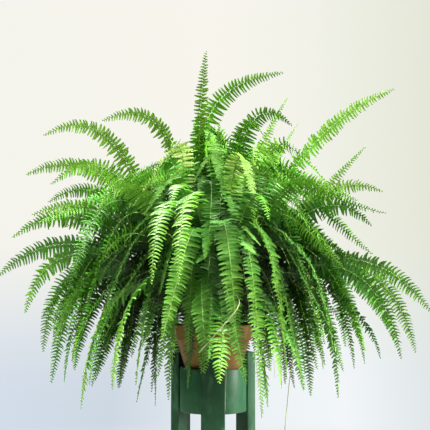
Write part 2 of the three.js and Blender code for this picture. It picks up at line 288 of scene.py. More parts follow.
def framedPath(places, sides, roll):
    # A path is even rows along a stalk: place, direction, side and face, each three numbers.
    # direction is the slope of the place; side is made square to it and turned about it by
    # the roll, and face is the cross of side and direction, turned with it.
    steps = np.linalg.norm(np.diff(places, axis=0), axis=1)
    run = np.concatenate([[0], np.cumsum(steps)])
    share = np.linspace(0, 1, pathForm["rows"])
    rows = np.stack([np.interp(share * run[-1], run, places[:, a]) for a in range(3)], 1)
    across = np.stack([np.interp(share * run[-1], run, sides[:, a]) for a in range(3)], 1)
    for _ in range(pathForm["smoothing"]):
        rows[1:-1] = (rows[:-2] + 2 * rows[1:-1] + rows[2:]) / 4
    direction = unit(np.gradient(rows, axis=0))
    side = unit(across - direction * np.sum(across * direction, axis=1, keepdims=True))
    face = np.cross(side, direction)
    turn = np.interp(share, np.linspace(0, 1, len(roll)), roll)[:, None]
    rolledSide = side * np.cos(turn) + face * np.sin(turn)
    rolledFace = face * np.cos(turn) - side * np.sin(turn)
    return {
        "share": share, "place": rows, "direction": direction,
        "side": rolledSide, "face": rolledFace, "length": run[-1],
    }


def pathFromNode(name, roll):
    # the rings of four corners from the node's foot to its tip, found by walking its edges
    mesh = cadNodes[name].data
    raw = np.empty(len(mesh.vertices) * 3, np.float32)
    mesh.vertices.foreach_get("co", raw)
    raw = raw.reshape(-1, 3).astype(float)
    ends = np.empty(len(mesh.edges) * 2, np.int32)
    mesh.edges.foreach_get("vertices", ends)
    points, same = np.unique(np.round(raw, 6), axis=0, return_inverse=True)
    same = same.ravel()
    count = len(points)
    linked = np.zeros((count, count), bool)
    first, second = same[ends[0::2]], same[ends[1::2]]
    linked[first, second] = True
    linked[second, first] = True
    np.fill_diagonal(linked, False)
    # the foot is the pole nearest the pot's axis and mouth: it has only four neighbours
    poles = np.flatnonzero(linked.sum(axis=1) == 4)
    mouth = np.array([0.0, 0.0, potMouth])
    foot = poles[np.argmin(np.linalg.norm(points[poles] - mouth, axis=1))]
    seen = np.zeros(count, bool)
    layer = np.zeros(count, bool)
    layer[foot] = True
    seen |= layer
    places, sides = [points[foot]], []
    while True:
        layer = linked[layer].any(axis=0) & ~seen
        if not layer.any():
            break
        seen |= layer
        ring = points[layer]
        places.append(ring.mean(axis=0))
        if len(ring) == 4:
            apart = np.linalg.norm(ring[:, None] - ring[None], axis=2)
            low, high = np.unravel_index(np.argmax(apart), apart.shape)
            side = unit(ring[high] - ring[low])
            if sides and side @ sides[-1] < 0:
                side = -side
            sides.append(side)
    places = np.array(places)
    sides = np.array([sides[0], *sides, sides[-1]])[: len(places)]
    # the upper face looks up and inward where the stalk leaves the crown
    ahead = unit(places[2] - places[0])
    outwards = places[-1] - places[0]
    outwards[2] = 0
    lean = unit(outwards)
    inward = np.array([0, 0, 1.0]) * (ahead @ lean) - lean * ahead[2]
    if np.cross(sides[1], ahead) @ inward < 0:
        sides = -sides
    return framedPath(places, sides, roll)


def pathFromArch(start, heading, reach, top, low, leave, land, drift, roll):
    # A cubic curve leaves the crown steeply, passes over near the height top and comes down at
    # the angle land to a tip at the height low. Two fifths of the way along, its height is the
    # weighted sum of its four handles' heights, so rise, the first handle's length, is solved
    # from the top; the second is fallShare of it. The drift grows as the square of the way.
    startWeight, tipWeight, riseWeight, fallWeight = 0.648, 0.352, 0.432, 0.288
    fallShare, shortest, longest = 0.72, 0.16, 0.75
    angle = math.radians(heading)
    out = np.array([math.sin(angle), -math.cos(angle), 0.0])
    side = np.array([math.cos(angle), math.sin(angle), 0.0])
    up = np.array([0, 0, 1.0])
    tip = out * reach + up * low
    steep, fall = math.sin(math.radians(leave)), math.sin(math.radians(land))
    climb = riseWeight * steep + fallWeight * fallShare * fall
    rise = (top - startWeight * start[2] - tipWeight * low) / climb
    rise = min(max(rise, shortest), longest)
    first = start + rise * (out * math.cos(math.radians(leave)) + up * steep)
    second = tip + fallShare * rise * (up * fall - out * math.cos(math.radians(land)))
    t = np.linspace(0, 1, 61)[:, None]
    places = (1 - t) ** 3 * start + 3 * (1 - t) ** 2 * t * first
    places = places + 3 * (1 - t) * t * t * second + t ** 3 * tip
    places = places + side * drift * t * t
    return framedPath(places, np.repeat(side[None], len(t), axis=0), roll)


def rowsAt(path, share):
    # the path at these shares of its length, on straight lines between its rows
    found = {}
    for key in ("place", "direction", "side", "face"):
        parts = [np.interp(share, path["share"], path[key][:, a]) for a in range(3)]
        found[key] = np.stack(parts, 1)
    return found


frondForm = {
    # metres between leaflets and the width of one, on a leaflet of the full length
    "leafletSpacing": 0.0116,
    "leafletWidth": 0.0134,
    "fullLength": 0.040,
    "leafletThickness": 0.0005,
    "bareShare": 0.07,
    "stalkRadius": 0.0019,
    "stalkTipRadius": 0.0005,
    "fold": 0.36,
    "turnUp": 0.34,
    "turnUpMost": 33.0,
    "droop": 0.16,
    "hang": 0.14,
    "sickle": 0.14,
    # the blade of a frond at the side rolls this far towards the front, in degrees
    "sideRoll": 58,
    # the shaded heart of the plant, an egg round this centre, and the shares of its reach
    # between which leaflets come out of the shade
    "heartCentre": (0, 0, 0.72),
    "heartReach": (0.60, 0.38, 0.50),
    "comingOut": (0.46, 0.95),
    # what is added to the freshness towards a frond's tip, and high up in the light
    "tipFreshness": 0.24,
    "highFreshness": 0.12,
    "highBand": (1.04, 1.24),
}
leafletStations = np.array([0.0, 0.06, 0.16, 0.32, 0.52, 0.72, 0.88, 1.0])


def leafletSizeShare(share):
    # short near the bare stalk, full from a third on, then closing to the tip
    rise = 0.42 + 0.58 * smoothShare(share, 0.04, 0.30)
    fall = 1 - np.maximum(0, (share - 0.58) / 0.44) ** 2.0
    return rise * np.clip(fall, 0.05, 1)


def leafletRow(path, sign, form, width, tint, rng):
    # Each leaflet runs out from the stalk along side * sign with a little of direction, and bends
    # down and towards the tip as the square of the way along it. Its half-width swells at the
    # foot into an ear on the tipward edge, then closes as the root of one minus a power.
    # It turns about its own axis by a share of the angle that would bring its face to the sky.
    spacing = form["leafletSpacing"] * (0.70 + 0.30 * width / form["fullLength"])
    count = max(8, int(path["length"] * (1 - form["bareShare"]) / spacing))
    shift = 0.25 if sign > 0 else 0.75
    order = (np.arange(count) + shift + rng.uniform(-0.12, 0.12, count)) / count
    closer = 1.28 * order - 0.28 * order ** 2
    share = form["bareShare"] + (0.997 - form["bareShare"]) * closer
    rows = rowsAt(path, share)
    size = width * leafletSizeShare(share) * rng.uniform(0.93, 1.07, count)
    broad = form["leafletWidth"] * (0.35 + 0.65 * size / form["fullLength"])
    broad = broad * rng.uniform(0.92, 1.08, count)
    forward = np.radians(-3 + 17 * smoothShare(share, 0.60, 1.0) + rng.normal(0, 4, count))
    lift = np.radians(rng.normal(5, 6, count))
    droop = form["droop"] * rng.uniform(0.4, 1.8, count)

    def column(values):
        return values[:, None, None]

    t = leafletStations[None, :, None]
    out = rows["side"][:, None] * sign
    ahead = rows["direction"][:, None]
    face = rows["face"][:, None]
    down = np.array([0, 0, -1.0])
    run = (
        out * column(np.cos(forward) * np.cos(lift)) * (t - 0.10 * t ** 3)
        + ahead * (column(np.sin(forward)) * t + form["sickle"] * (t ** 2 - 0.2 * t))
        + face * (column(np.sin(lift)) * t - column(droop) * t ** 2.2)
        + down * form["hang"] * t ** 2
    )
    centre = rows["place"][:, None] + run * column(size)
    axis = unit(np.gradient(centre, axis=1))
    edge = unit(ahead - axis * np.sum(axis * ahead, axis=2, keepdims=True))
    normal = np.cross(axis, edge) * sign
    skyward = np.arctan2(edge[..., 2:], normal[..., 2:]) * form["turnUp"]
    most = math.radians(form["turnUpMost"])
    turn = np.clip(skyward, -most, most) + column(np.radians(rng.normal(0, 8, count)))
    cosine, sine = np.cos(turn), np.sin(turn)
    edge, normal = edge * cosine - normal * sine, normal * cosine + edge * sine
    swell = smoothShare(t, -0.03, 0.08) * (0.62 + 0.38 * np.exp(-((t / 0.28) ** 2)) - 0.08 * t)
    swell = swell * np.sqrt(np.clip(1 - t ** 4.0, 0, 1))
    teeth = 1 + 0.05 * np.cos(t * 26 + column(rng.uniform(0, 6, count)))
    half = column(broad) / 2 * swell * teeth
    ear = np.exp(-((t - 0.10) / 0.075) ** 2)
    tipward = half * (1 + 0.42 * ear)
    footward = half * (1 - 0.18 * ear)
    thick = form["leafletThickness"] / 2 * (1 - 0.6 * t)
    wave = column(size) * 0.010 * np.sin(t * 9 + column(rng.uniform(0, 6, count)))
    corners = np.stack([
        centre + edge * tipward - normal * (form["fold"] * tipward - wave),
        centre + normal * thick,
        centre - edge * footward - normal * (form["fold"] * footward + wave),
        centre - normal * thick,
    ], axis=2)
    inner = corners[:, 1:-1]
    stations = inner.shape[1]
    each = stations * 4 + 2
    points = np.concatenate([centre[:, :1], inner.reshape(count, -1, 3), centre[:, -1:]], axis=1)
    quads, triangles = ringFaces(stations, 4, 1, 0, each - 1)
    offsets = (np.arange(count) * each)[:, None, None]
    allQuads = (quads[None] + offsets).reshape(-1, 4)
    allTriangles = (triangles[None] + offsets).reshape(-1, 3)
    # which faces are the underside: corners 2 to 3 and 3 to 0
    under = np.tile((np.arange(4) >= 2).astype(float), stations - 1)
    underEnds = np.tile((np.arange(4) >= 2).astype(float), 2)
    along = np.concatenate([[0], np.repeat(leafletStations[1:-1], 4), [1]])
    onMargin = np.concatenate([[1.0], np.tile([1.0, 0.0, 1.0, 0.0], stations), [1.0]])
    # leaflets deep inside the plant get painted shade: their tint is cut and their colour is drawn
    # towards near black
    fromHeart = np.linalg.norm((rows["place"] - form["heartCentre"]) / form["heartReach"], axis=1)
    outside = smoothShare(fromHeart, *form["comingOut"])
    # painted shade: inner leaflets keep less than half of their tint
    shade = tint * (0.45 + 0.55 * outside) + rng.normal(0, 0.05, count)
    shade = shade + form["tipFreshness"] * smoothShare(share, 0.45, 1.0)
    shade = shade + form["highFreshness"] * smoothShare(rows["place"][:, 2], *form["highBand"])
    shade = shade[:, None]
    return shape(
        points.reshape(-1, 3), allQuads, allTriangles,
        {
            "shelter": np.repeat(1 - outside, each),
            "tint": (shade + np.zeros((1, each))).ravel(),
            "across": np.tile(onMargin, count),
            "along": np.tile(along, count),
        },
        {
            "under": np.concatenate([np.tile(under, count), np.tile(underEnds, count)]),
            "stem": np.zeros(len(allQuads) + len(allTriangles)),
        },
        np.tile(onMargin > 0.5, count),
    )


def tubeAlong(places, side, face, radius, tint):
    # six-sided rings at the place plus side and face times the cosine and sine of the turn
    # times the radius, closed with a point at each end
    turn = np.arange(6) * math.pi / 3
    rings = (
        places[:, None]
        + side[:, None] * (np.cos(turn)[None, :, None] * radius[:, None, None])
        + face[:, None] * (np.sin(turn)[None, :, None] * radius[:, None, None])
    )
    count = len(places)
    points = np.concatenate([places[:1], rings.reshape(-1, 3), places[-1:]])
    quads, triangles = ringFaces(count, 6, 1, 0, len(points) - 1)
    faces = len(quads) + len(triangles)
    return shape(
        points, quads, triangles,
        {
            # every stalk gets a fixed share of painted shade
            "shelter": np.full(len(points), 0.3),
            "tint": np.full(len(points), tint),
            "across": np.ones(len(points)),
            "along": np.concatenate([[0], np.repeat(np.linspace(0, 1, count), 6), [1]]),
        },
        {"under": np.zeros(faces), "stem": np.ones(faces)},
    )


def withoutValues(shapes):
    # the same shapes with no attributes, for pieces that aren't leaves
    return [{**part, "pointValues": {}, "faceValues": {}} for part in shapes]


def stalk(path, form, tint):
    # a tube whose radius thins from the foot as a power of what is left of the way
    share = np.linspace(0, 0.995, 48)
    rows = rowsAt(path, share)
    thinning = (form["stalkRadius"] - form["stalkTipRadius"]) * (1 - share) ** 0.8
    radius = form["stalkTipRadius"] + thinning
    return tubeAlong(rows["place"], rows["side"], rows["face"], radius, tint)


def frondShapes(path, form, width, tint, rng):
    # a stalk and its two rows of leaflets
    return [
        stalk(path, form, tint),
        leafletRow(path, 1, form, width, tint, rng),
        leafletRow(path, -1, form, width, tint, rng),
    ]


leafLook = {
    # the colours of age, and where each stands between old and new; painted shade also pushes inner
    # leaflets towards the dark end
    "stops": (0.05, 0.37, 0.76, 1.0),
    "dark": (0.005, 0.050, 0.003),
    "full": (0.058, 0.310, 0.012),
    "fresh": (0.250, 0.570, 0.040),
    "tender": (0.560, 0.720, 0.200),
    "vein": (0.300, 0.520, 0.100),
    "veinShare": 0.55,
    "underside": (0.090, 0.290, 0.040),
    "undersideShare": 0.55,
    "dry": (0.30, 0.20, 0.07),
    "dryShare": 0.8,
    "stem": (0.260, 0.440, 0.070),
    "stemFoot": (0.080, 0.050, 0.022),
    "throughLight": (0.400, 0.680, 0.070),
    "throughShare": 0.06,
    "throughFresh": 0.30,
    # painted shade: the near-black colour of leaflets deep in the plant, and how far they are drawn
    # to it
    "paintedShadeColor": (0.002, 0.014, 0.001),
    "paintedShadeShare": 0.88,
}


def leafFinish(look):
    finish = Finish("fern_leaf")
    tint = finish.attribute("tint")
    across = finish.attribute("across")
    along = finish.attribute("along")
    under = finish.attribute("under")
    stem = finish.attribute("stem")
    shelter = finish.attribute("shelter")
    patch = finish.noise(9.0, 3.0)
    speckle = finish.noise(240.0, 2.0)
    # the tint carries age and also the painted shade of the plant's heart
    ageAndShade = (tint + (patch - 0.5) * 0.30 + (speckle - 0.5) * 0.10).clamped()
    shades = [look[key] for key in ("dark", "full", "fresh", "tender")]
    leaf = finish.ramp(ageAndShade, list(zip(look["stops"], shades)))
    midVein = (1 - finish.between(across, 0.03, 0.16)) * look["veinShare"]
    leaf = finish.mix(midVein, leaf, look["vein"])
    leaf = finish.mix(under * look["undersideShare"], leaf, look["underside"])
    dryTip = finish.between(along, 0.90, 1.0) * finish.between(patch, 0.62, 0.72)
    leaf = finish.mix(dryTip * (1 - stem) * look["dryShare"], leaf, look["dry"])
    stemColor = finish.mix(finish.between(along, 0.02, 0.30), look["stemFoot"], look["stem"])
    color = finish.mix(stem, leaf, stemColor)
    # painted shade: leaflets deep in the plant are drawn towards near black
    color = finish.mix(shelter * look["paintedShadeShare"], color, look["paintedShadeColor"])
    # side veins fork off the midrib at a slant, and the blade puckers between them
    sideVeins = ((along * 115.0 + across * 9.0).sine() * 0.5 + 0.5).power(3.0)
    relief = sideVeins * (1 - stem) * 0.5 + finish.between(across, 0.0, 0.25)
    roughness = 0.32 + under * 0.20 + (speckle - 0.5) * 0.12
    shader = finish.surface(
        Base_Color=color, Roughness=roughness, Specular_IOR_Level=0.42,
        Normal=finish.bump(relief, 0.00025, 0.6),
    )
    through = finish.node("ShaderNodeBsdfTranslucent", None, {"Color": look["throughLight"]})
    # fresh blades let more light through than old sheltered ones
    freshShare = finish.between(ageAndShade, 0.35, 0.95) * look["throughFresh"]
    throughShare = (look["throughShare"] + freshShare) * (1 - stem)
    blend = finish.node("ShaderNodeMixShader", None, {
        0: throughShare, 1: shader.outputs[0], 2: through.outputs[0],
    })
    return finish.show(blend)


leafMaterial = leafFinish(leafLook)

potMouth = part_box("pot")[1][2]
seatRise = 0.004


def seatAt(heading, radius):
    # the spot on the crown that a stalk grows out of
    angle = math.radians(heading)
    return np.array([math.sin(angle) * radius, -math.cos(angle) * radius, potMouth + seatRise])


growth = {
    "seed": 4,
    "fullWidth": 0.046,
    "youngWidth": 0.026,
    "rollWander": 10.0,
    "youngTint": 0.86,
    "drawnTint": (0.18, 0.60),
}
# how fresh single fronds are, from 0 for old and dark to 1 for tender; the rest are drawn
freshness = {
    "frond_01": 0.82, "frond_02": 0.66, "frond_04": 0.30, "frond_05": 0.46, "frond_06": 0.60,
    "frond_11": 0.52, "frond_12": 0.80, "frond_13": 0.86, "frond_14": 0.55, "frond_15": 0.70,
    "frond_16": 0.62, "frond_22": 0.88, "frond_27": 0.34, "frond_30": 0.62, "frond_32": 0.40,
    "frond_33": 0.50, "frond_34": 0.52, "frond_35": 0.46, "frond_41": 0.66,
}


def growFrameFronds(growth):
    rng = np.random.default_rng(growth["seed"])
    names = sorted(name for name in cadNodes if "frond" in name)
    for name in names:
        young = name.startswith("young_")
        roll = np.radians(rng.normal(0, growth["rollWander"], 5))
        path = pathFromNode(name, roll)
        drawn = rng.uniform(*growth["drawnTint"])
        tint = growth["youngTint"] if young else freshness.get(name, drawn)
        width = growth["youngWidth"] if young else growth["fullWidth"] * rng.uniform(0.92, 1.05)
        shapes = frondShapes(path, frondForm, width, tint, rng)
        piece = meshPiece("leafy_" + name, shapes, leafMaterial)
        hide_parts(name)
    print("fronds on the frame:", len(names))


growFrameFronds(growth)

# single fronds that stand out at the front: heading, reach, arch top, tip height, leaving
# angle, landing angle, drift and freshness
placed = {
    "seed": 23,
    "seatRadius": 0.05,
    "leafletLength": 0.041,
    "fronds": [
        (-13, 0.310, 0.95, 0.598, 76, 84, 0.00, 0.50),
        (-23, 0.360, 0.90, 0.465, 72, 84, 0.02, 0.46),
        (-34, 0.360, 0.90, 0.501, 72, 84, -0.02, 0.55),
        (21.5, 0.370, 0.95, 0.415, 74, 86, 0.00, 0.58),
        (-52, 0.330, 1.15, 1.010, 78, 50, 0.04, 0.95),
        (24, 0.306, 1.09, 0.992, 80, 70, 0.00, 0.76),
        (6, 0.350, 0.97, 0.630, 76, 84, 0.03, 0.48),
        (33, 0.380, 0.96, 0.520, 72, 84, 0.00, 0.60),
        (48, 0.400, 0.95, 0.540, 70, 84, 0.03, 0.50),
        (-60, 0.470, 0.94, 0.560, 68, 82, 0.00, 0.56),
        (52, 0.300, 0.98, 0.880, 66, 50, -0.12, 0.80),
    ],
}


def growPlaced(placed):
    rng = np.random.default_rng(placed["seed"])
    waiting = []
    for heading, reach, top, low, leave, land, drift, tint in placed["fronds"]:
        seat = seatAt(heading, placed["seatRadius"])
        lean = frondForm["sideRoll"] * math.sin(math.radians(heading))
        roll = np.radians(lean + rng.normal(0, 8, 5))
        path = pathFromArch(seat, heading, reach, top, low, leave, land, drift, roll)
        width = placed["leafletLength"] * rng.uniform(0.95, 1.08)
        waiting += frondShapes(path, frondForm, width, tint, rng)
    piece = meshPiece("filling_front", waiting, leafMaterial)
    print("front fronds placed:", len(placed["fronds"]))


growPlaced(placed)

filling = {
    "seed": 29,
    "perGroup": 14,
    # each frond stands this far round from the one before, in degrees
    "firstTurn": 20.0,
    "goldenTurn": 137.508,
    # at the front, this near the middle, this share is left out so that the pot shows
    "frontGapTurn": 36,
    "frontGaps": 0.5,
    "halfSpan": 0.60,
    "halfDepth": 0.46,
    "seatRadius": (0.012, 0.055),
    "drift": (-0.09, 0.09),
    "leafletLength": 0.039,
    "tint": 0.25,
    "highTint": 0.13,
    "tintSpread": (-0.17, 0.22),
    # reach as a share of the span that way, arch top and tip heights in metres, the angle the
    # stalk leaves the crown at, the angle its tip comes down at, both in degrees
    "tiers": [
        {
            "name": "crest", "slot": "leaf_d", "count": 44, "reach": (0.22, 0.66),
            "top": (1.06, 1.20), "low": (0.98, 1.16), "leave": (74, 90), "land": (0, 50),
        },
        {
            "name": "shoulder", "slot": "leaf_c", "count": 44, "reach": (0.55, 0.96),
            "top": (1.02, 1.17), "low": (0.84, 1.08), "leave": (62, 76), "land": (10, 50),
        },
        {
            "name": "mantle", "slot": "leaf_a", "count": 56, "reach": (0.58, 1.00),
            "top": (0.88, 1.03), "low": (0.56, 0.84), "leave": (60, 76), "land": (40, 80),
        },
        {
            "name": "skirt", "slot": "leaf_b", "count": 66, "reach": (0.44, 0.92),
            "top": (0.80, 0.95), "low": (0.43, 0.64), "leave": (60, 76), "land": (70, 88),
        },
    ],
}


def fillingFrond(filling, tier, heading, rng):
    angle = math.radians(heading)
    # the plant's outline from above is an ellipse, and this is its radius that way
    span = 1 / math.hypot(
        math.sin(angle) / filling["halfSpan"], math.cos(angle) / filling["halfDepth"],
    )
    seat = seatAt(heading, rng.uniform(*filling["seatRadius"]))
    lean = frondForm["sideRoll"] * math.sin(angle) + rng.normal(0, 16)
    roll = np.radians(lean + rng.normal(0, 11, 5))
    path = pathFromArch(
        seat, heading, span * rng.uniform(*tier["reach"]), rng.uniform(*tier["top"]),
        rng.uniform(*tier["low"]), rng.uniform(*tier["leave"]), rng.uniform(*tier["land"]),
        rng.uniform(*filling["drift"]), roll,
    )
    width = filling["leafletLength"] * rng.uniform(0.86, 1.08)
    # younger fronds stand higher and are fresher, old low ones are dark
    high = smoothShare(path["place"][:, 2].max(), 0.85, 1.20)
    tint = filling["tint"] + filling["highTint"] * high + rng.uniform(*filling["tintSpread"])
    return frondShapes(path, frondForm, width, tint, rng)


def growFilling(filling):
    rng = np.random.default_rng(filling["seed"])
    perGroup = filling["perGroup"]
    turn = filling["firstTurn"]
    for tier in filling["tiers"]:
        grown = []
        for _ in range(tier["count"]):
            turn += filling["goldenTurn"]
            heading = turn % 360 - 180 + rng.uniform(-8, 8)
            if abs(heading) < filling["frontGapTurn"] and rng.random() < filling["frontGaps"]:
                continue
            grown.append(fillingFrond(filling, tier, heading, rng))
        for first in range(0, len(grown), perGroup):
            shapes = sum(grown[first: first + perGroup], [])
            name = f"filling_{tier['name']}_{first // perGroup + 1}"
            meshPiece(name, shapes, leafMaterial)
        print("filling tier", tier["name"], "fronds:", len(grown))


growFilling(filling)


def roundedOutline(corners, radii, steps=5):
    # each corner becomes a quadratic curve that starts and ends its radius away from it
    corners = np.asarray(corners, float)
    before = np.roll(corners, 1, axis=0)
    after = np.roll(corners, -1, axis=0)
    t = np.linspace(0, 1, steps)[:, None]
    rows = []
    for corner, back, on, radius in zip(corners, before, after, radii):
        start = corner + unit(back - corner) * radius
        end = corner + unit(on - corner) * radius
        rows.append((1 - t) ** 2 * start + 2 * (1 - t) * t * corner + t * t * end)
    return np.concatenate(rows)


def turnedRing(outline, segments, wobble=None):
    # a closed outline of radius and height swept round the axis: each point is at the radius
    # times the cosine and sine of the turn, where the wobble of turn and height adds to radius
    turn = np.arange(segments) * 2 * math.pi / segments
    radius = outline[:, 0][None]
    height = outline[:, 1][None] + np.zeros((segments, 1))
    if wobble is not None:
        radius = radius + wobble(turn[:, None], height)
    x, y = radius * np.cos(turn)[:, None], radius * np.sin(turn)[:, None]
    points = np.stack([x, y, height], axis=2)
    rows = len(outline)
    a = np.arange(segments)[:, None] * rows + np.arange(rows)[None]
    b = np.arange(segments)[:, None] * rows + (np.arange(rows)[None] + 1) % rows
    step = np.roll(np.arange(segments), -1)[:, None] * rows
    c = step + (np.arange(rows)[None] + 1) % rows
    d = step + np.arange(rows)[None]
    quads = np.stack([a, b, c, d], axis=2).reshape(-1, 4)
    return shape(points.reshape(-1, 3), quads, np.empty((0, 3)))


def stackedLoops(loops):
    # a stack of closed loops of the same length, joined in order and closed at both ends
    levels, around = loops.shape[:2]
    middles = loops[[0, -1]].mean(axis=1)
    points = np.concatenate([loops.reshape(-1, 3), middles])
    quads, triangles = ringFaces(levels, around, 0, levels * around, levels * around + 1)
    return shape(points, quads, triangles)


def ringSize(name):
    # outer radius, bottom and top of a turned node
    low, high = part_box(name)
    return (high[0] - low[0]) / 2, low[2], high[2]


potForm = {
    "collarHeight": 0.045,
    "collarStep": 0.007,
    "collarFlare": 0.003,
    "taper": 0.306,
    "wall": 0.009,
    "floor": 0.012,
    "drain": 0.009,
    "wobble": 0.0004,
    # how far apart the rows that carry the ripple are
    "rowStep": 0.006,
    # the rounding of each corner, from the drain hole's foot out, up and back down inside
    "rounding": [0.001, 0.003, 0.0015, 0.0022, 0.0036, 0.0036, 0.006, 0.0015],
}


def makePot(form, material):
    radius, low, high = ringSize("pot")
    bodyTop = radius - form["collarFlare"] - form["collarStep"]
    collarLow = high - form["collarHeight"]

    def bodyRadius(z):
        return bodyTop - form["taper"] * (collarLow - z)

    innerTop = radius - form["wall"] - form["collarFlare"]
    innerLow = bodyRadius(low + form["floor"]) - form["wall"]
    corners = [
        (form["drain"], low), (bodyRadius(low), low), (bodyTop, collarLow),
        (bodyTop + form["collarStep"], collarLow), (radius, high), (innerTop, high),
        (innerLow, low + form["floor"]), (form["drain"], low + form["floor"]),
    ]
    outline = roundedOutline(corners, form["rounding"])
    # extra rows up the long walls so that the hand-thrown ripple shows
    closed = np.concatenate([outline, outline[:1]])
    steps = np.linalg.norm(np.diff(closed, axis=0), axis=1)
    rows = [
        np.linspace(start, end, max(1, int(step / form["rowStep"])), endpoint=False)
        for start, end, step in zip(closed[:-1], closed[1:], steps)
    ]
    outline = np.concatenate(rows)

    def wobble(turn, z):
        # the ripple of the throwing and a slight oval that twists with height
        ripple = np.sin(z * 520 + 2 * np.sin(turn)) * 0.35 + np.sin(turn * 2 + z * 30) * 0.65
        return ripple * form["wobble"]

    pot = meshPiece("clay_pot", [turnedRing(outline, 192, wobble)], material)
    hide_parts("pot")


def clayFinish():
    finish = Finish("terracotta")
    cloud = finish.noise(7.0, 5.0, 0.6)
    grain = finish.noise(160.0, 4.0, 0.65)
    streak = finish.noise(18.0, 4.0, 0.6, (1, 1, 0.25))
    color = finish.ramp(cloud, [
        (0.25, (0.125, 0.068, 0.020)), (0.50, (0.260, 0.155, 0.042)), (0.75, (0.390, 0.255, 0.080)),
    ])
    bloom = finish.between(streak, 0.55, 0.78) * 0.45
    color = finish.mix(bloom, color, (0.56, 0.47, 0.33))
    damp = (1 - finish.between(finish.height("Z"), 0.50, 0.60)) * 0.55
    color = finish.mix(damp, color, (0.150, 0.075, 0.036))
    pits = finish.between(grain, 0.60, 0.72)
    color = finish.mix(pits * 0.3, color, (0.12, 0.06, 0.03))
    shader = finish.surface(
        Base_Color=color, Roughness=0.88 - bloom * 0.1, Specular_IOR_Level=0.25,
        Normal=finish.bump(grain * 0.6 + cloud * 0.8, 0.0006, 0.5),
    )
    return finish.show(shader)


makePot(potForm, clayFinish())
print("pot turned")

soilForm = {
    "seed": 5,
    "around": 150,
    "clods": 0.0022,
    "clodWaves": 24,
    "clodRates": (120, 900),
    "footShare": 0.53,
    "topShare": 0.985,
}
crownForm = {
    "radius": 0.066,
    "lumps": 0.0018,
    "lumpWaves": 20,
    "lumpRates": (150, 600),
    "stubs": 90,
    "stubLength": (0.008, 0.024),
    "stubFoot": 0.0019,
    "stubTip": 0.0009,
}
anyTurn = (0, 6.283)


def summedWaves(x, y, count, rates, rng):
    # sines of x and y along random directions, summed and divided by the root of their count
    total = np.zeros_like(x)
    for _ in range(count):
        spin, rate, phase = rng.uniform(*anyTurn), rng.uniform(*rates), rng.uniform(*anyTurn)
        along = x * math.cos(spin) + y * math.sin(spin)
        total += np.sin(along * rate + phase) / count ** 0.5
    return total


def makeSoil(form, material, rng):
    # Rings over a tapering plug, at the ring's share of the radius times the cosine and sine of
    # the turn. The lowest four make the plug's foot and edge, and the rest are the soil's top,
    # raised and sunk by summed waves.
    radius, low, high = ringSize("soil")
    rings = np.concatenate([[0.25, 0.6], np.linspace(1.0, 0.985, 2), np.linspace(0.96, 0.02, 40)])
    edge = [low + 0.001, low, low + 0.004, high - 0.006]
    heights = np.concatenate([edge, np.full(40, high - 0.003)])
    shrink = np.interp(heights, [low, high], [form["footShare"], form["topShare"]])
    turn = np.arange(form["around"]) * 2 * math.pi / form["around"]
    size = rings[:, None] * (radius * shrink)[:, None]
    x, y = size * np.cos(turn), size * np.sin(turn)
    z = heights[:, None] + np.zeros_like(x)
    z[4:] += summedWaves(x, y, form["clodWaves"], form["clodRates"], rng)[4:] * form["clods"]
    soil = meshPiece("potting_soil", [stackedLoops(np.stack([x, y, z], axis=2))], material)
    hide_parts("soil")


def crownStub(form, low, high, rng):
    # the broken base of an old stalk, standing out of the dome
    angle = rng.uniform(*anyTurn)
    away = form["radius"] * math.sqrt(rng.uniform(0.01, 0.95))
    foot = np.array([
        math.cos(angle) * away, math.sin(angle) * away,
        low + (high - low) * (1 - (away / form["radius"]) ** 2) - 0.004,
    ])
    outwards = np.array([math.cos(angle), math.sin(angle), 0])
    lean = outwards * rng.uniform(0.2, 1.0) + np.array([0, 0, 1.0])
    t = np.linspace(0, 1, 6)[:, None]
    places = foot + unit(lean) * t * rng.uniform(*form["stubLength"])
    side = np.repeat(unit(np.cross(lean, [0.3, 0.2, 1.0]))[None], 6, axis=0)
    face = np.cross(side, unit(lean))
    return tubeAlong(places, side, face, np.linspace(form["stubFoot"], form["stubTip"], 6), 0.3)


def makeCrown(form, around, material, rng):
    # A dome of rings whose height falls as the square of the share of the radius, over a
    # narrower foot, with lumps of summed waves and the stubs of old stalks.
    low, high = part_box("crown")[0][2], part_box("crown")[1][2]
    domeShares = np.linspace(1, 0.02, 36)
    shares = np.concatenate([[0.5, 0.97], domeShares])
    lift = np.concatenate([[0, 0], 1 - domeShares ** 2])
    turn = np.arange(around) * 2 * math.pi / around
    size = shares[:, None] * form["radius"] + np.zeros((1, around))
    x, y = size * np.cos(turn), size * np.sin(turn)
    z = low + 0.0015 + lift[:, None] * (high - low - 0.004) + np.zeros_like(x)
    z[2:] += summedWaves(x, y, form["lumpWaves"], form["lumpRates"], rng)[2:] * form["lumps"]
    parts = [stackedLoops(np.stack([x, y, z], axis=2))]
    parts += [crownStub(form, low, high, rng) for _ in range(form["stubs"])]
    crown = meshPiece("fern_crown", withoutValues(parts), material)
    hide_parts("crown")


def soilFinish():
    finish = Finish("potting_soil")
    crumbs = finish.noise(300.0, 5.0, 0.7)
    cloud = finish.noise(40.0, 3.0)
    color = finish.ramp(crumbs, [
        (0.30, (0.010, 0.006, 0.004)), (0.55, (0.040, 0.024, 0.014)), (0.80, (0.130, 0.085, 0.050)),
    ])
    color = finish.mix(cloud * 0.4, color, (0.028, 0.018, 0.011))
    shader = finish.surface(
        Base_Color=color, Roughness=0.97, Specular_IOR_Level=0.2,
        Normal=finish.bump(crumbs, 0.002, 0.9),
    )
    return finish.show(shader)


